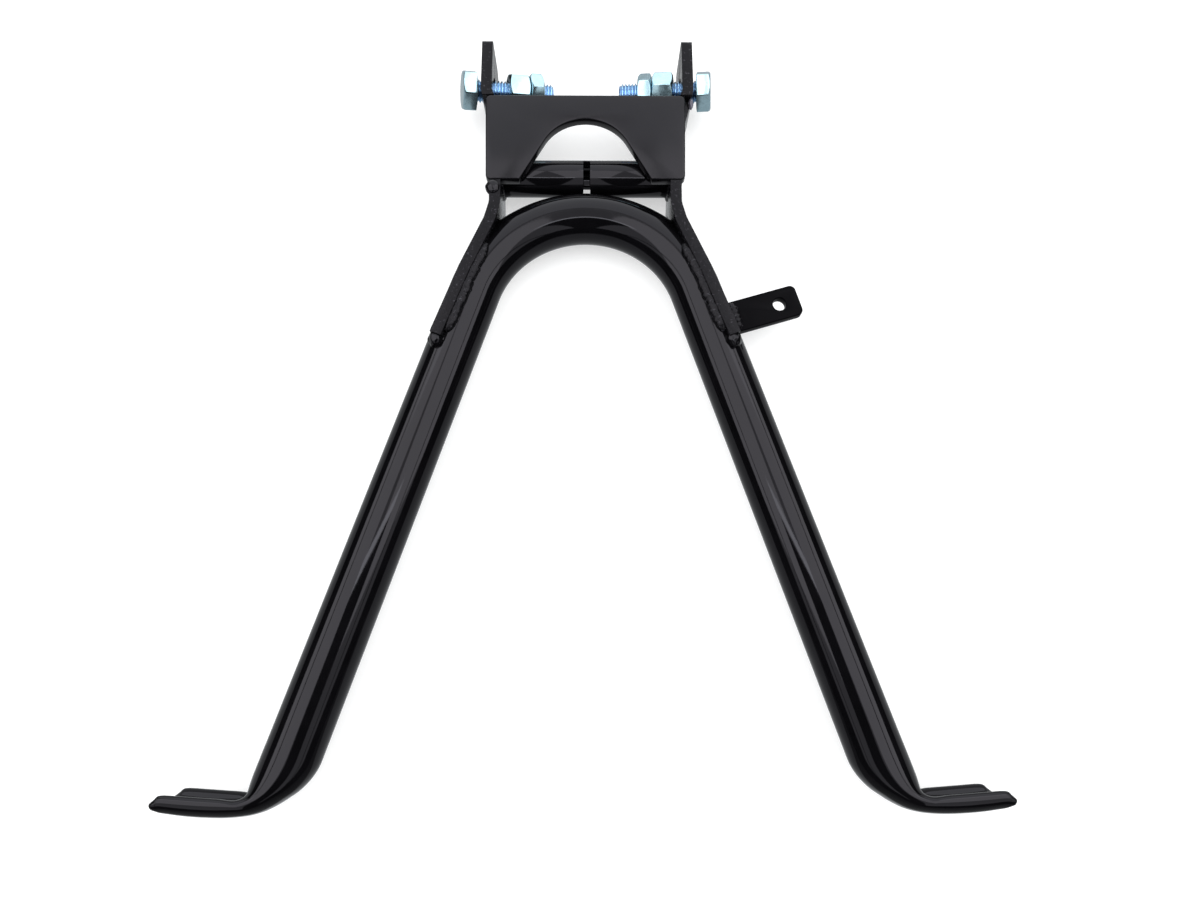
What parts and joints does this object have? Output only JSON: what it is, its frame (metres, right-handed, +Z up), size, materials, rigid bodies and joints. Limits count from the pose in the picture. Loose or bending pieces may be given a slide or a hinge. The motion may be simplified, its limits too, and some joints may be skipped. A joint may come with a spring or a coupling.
{
  "type": "moped centre stand",
  "caption": "Black enamelled U-tube centre stand for a moped with turned-out feet, ears with pivot bolts, and a spring tab.",
  "frame": {"origin": "under the middle of the outline, on the surface the stand lies on", "axes": "+Y from the feet to the pivot ears, +Z up from the surface, +X towards the side with the spring tab"},
  "size_m": [0.3164, 0.3265, 0.027],
  "materials": {
    "enamel": "gloss",
    "zinc": "gloss"
  },
  "bodies": {
    "frame": {"main_tube": "enamel", "left_arm": "enamel", "right_arm": "enamel", "front_plate": "enamel", "cross_tube": "enamel", "spring_tab": "enamel"},
    "left_pivot": {"left_pivot_bolt": "zinc", "left_nut": "zinc", "left_lock_nut": "zinc"},
    "right_pivot": {"right_pivot_bolt": "zinc", "right_nut": "zinc", "right_lock_nut": "zinc"}
  },
  "joints": [
    {"name": "left_bolt_turn", "type": "hinge", "parent": "frame", "child": "left_pivot", "pos_m": [-0.0437, 0.14485, 0.015], "axis": [-0.9707, -0.0849, 0.225], "continuous": true},
    {"name": "right_bolt_turn", "type": "hinge", "parent": "frame", "child": "right_pivot", "pos_m": [0.0452, 0.14485, 0.015], "axis": [0.9895, -0.0397, 0.1392], "continuous": true}
  ]
}
